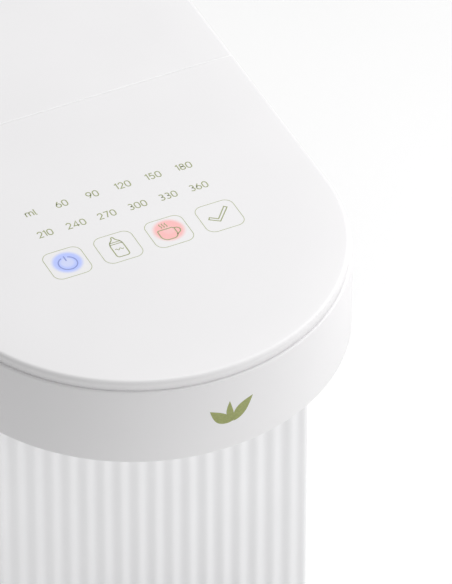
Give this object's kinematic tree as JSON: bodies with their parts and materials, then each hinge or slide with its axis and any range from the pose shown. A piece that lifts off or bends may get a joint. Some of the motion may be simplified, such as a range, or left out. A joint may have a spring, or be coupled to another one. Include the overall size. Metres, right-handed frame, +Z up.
{
  "type": "formula dispenser",
  "caption": "White countertop dispenser that warms measured water for baby formula: fluted column, rounded touch-key head over a drip tray, lift-out rear tank with a hinged lid.",
  "frame": {"origin": "on the table, under the middle of the machine", "axes": "+X to the right of someone facing the keys, +Y to the back, +Z up"},
  "size_m": [0.172, 0.262, 0.3],
  "materials": {
    "white_shell": "satin white moulded ABS",
    "inner_plastic": "plain moulded plastic",
    "tank_plastic": "frosted clear copolyester",
    "rubber": "moulded rubber",
    "silicone": "milky silicone",
    "steel": "bright stainless steel",
    "brass": "turned brass",
    "circuit_board": "solder-masked board",
    "black_plastic": "moulded black plastic",
    "light_guide": "frosted acrylic",
    "aluminium": "as cast"
  },
  "bodies": {
    "machine": {"base_housing": "white_shell", "column_shell": "white_shell", "head_housing": "white_shell", "control_panel": "white_shell", "base_plate": "inner_plastic", "tank_dock_socket": "inner_plastic", "column_back_wall": "inner_plastic", "nozzle_manifold": "inner_plastic", "pump_head": "inner_plastic", "pump_cover": "inner_plastic", "flow_meter_body": "inner_plastic", "flow_meter_cover": "tank_plastic", "foot_front_left": "rubber", "foot_front_right": "rubber", "foot_rear_left": "rubber", "foot_rear_right": "rubber", "dock_seal": "silicone", "tank_hose": "silicone", "pump_hose": "silicone", "heater_hose": "silicone", "delivery_hose": "silicone", "base_screw_front_left": "steel", "base_screw_front_right": "steel", "base_screw_rear_left": "steel", "base_screw_rear_right": "steel", "pump_motor": "steel", "water_temperature_sensor": "brass", "touch_board": "circuit_board", "power_board": "circuit_board", "control_board": "circuit_board", "power_inlet": "black_plastic", "safety_thermostat": "black_plastic", "transformer": "black_plastic", "tank_sensor": "black_plastic", "light_guide_power": "light_guide", "light_guide_bottle": "light_guide", "light_guide_warm": "light_guide", "light_guide_confirm": "light_guide", "heater_block": "aluminium"},
    "tray": {"drip_tray": "white_shell"},
    "grille": {"drip_grille": "white_shell"},
    "spout": {"nozzle_cap": "white_shell", "spout_tip": "silicone"},
    "tank": {"tank_body": "tank_plastic", "tank_collar": "white_shell", "lid_hinge_pin": "steel", "tank_valve_seat": "inner_plastic", "valve_cage": "inner_plastic", "valve_spring": "steel", "float_guide": "inner_plastic"},
    "lid": {"tank_lid": "white_shell", "lid_seal": "silicone"},
    "valve": {"valve_plunger": "rubber"},
    "float": {"tank_float": "rubber"},
    "impeller": {"pump_rotor": "black_plastic"},
    "meter_wheel": {"flow_wheel": "black_plastic"}
  },
  "joints": [
    {"name": "tank_lift", "type": "slide", "parent": "machine", "child": "tank", "axis": [0, 0, 1], "range_m": [0, 0.12]},
    {"name": "lid_hinge", "type": "hinge", "parent": "tank", "child": "lid", "pos_m": [0, 0.1185, 0.297], "axis": [-1, 0, 0], "range_deg": [0, 95]},
    {"name": "valve_plunge", "type": "slide", "parent": "tank", "child": "valve", "axis": [0, 0, 1], "range_m": [0, 0.0015], "stiffness_N_per_m": 120, "springref_m": -0.004, "deforming": ["valve_spring"]},
    {"name": "float_slide", "type": "slide", "parent": "tank", "child": "float", "axis": [0, 0, 1], "range_m": [0, 0.03]},
    {"name": "tray_slide", "type": "slide", "parent": "machine", "child": "tray", "axis": [0, -1, 0], "range_m": [0, 0.11]},
    {"name": "grille_lift", "type": "slide", "parent": "tray", "child": "grille", "axis": [0, 0, 1], "range_m": [0, 0.06]},
    {"name": "spout_twist", "type": "hinge", "parent": "machine", "child": "spout", "pos_m": [0, -0.074, 0.258], "axis": [0, 0, 1], "range_deg": [-35, 0]},
    {"name": "impeller_spin", "type": "hinge", "parent": "machine", "child": "impeller", "pos_m": [0.004, 0.00175, 0.054], "axis": [1, 0, 0], "continuous": true},
    {"name": "meter_wheel_spin", "type": "hinge", "parent": "machine", "child": "meter_wheel", "pos_m": [0.038, 0.00175, 0.10196], "axis": [0, 1, 0], "continuous": true}
  ]
}
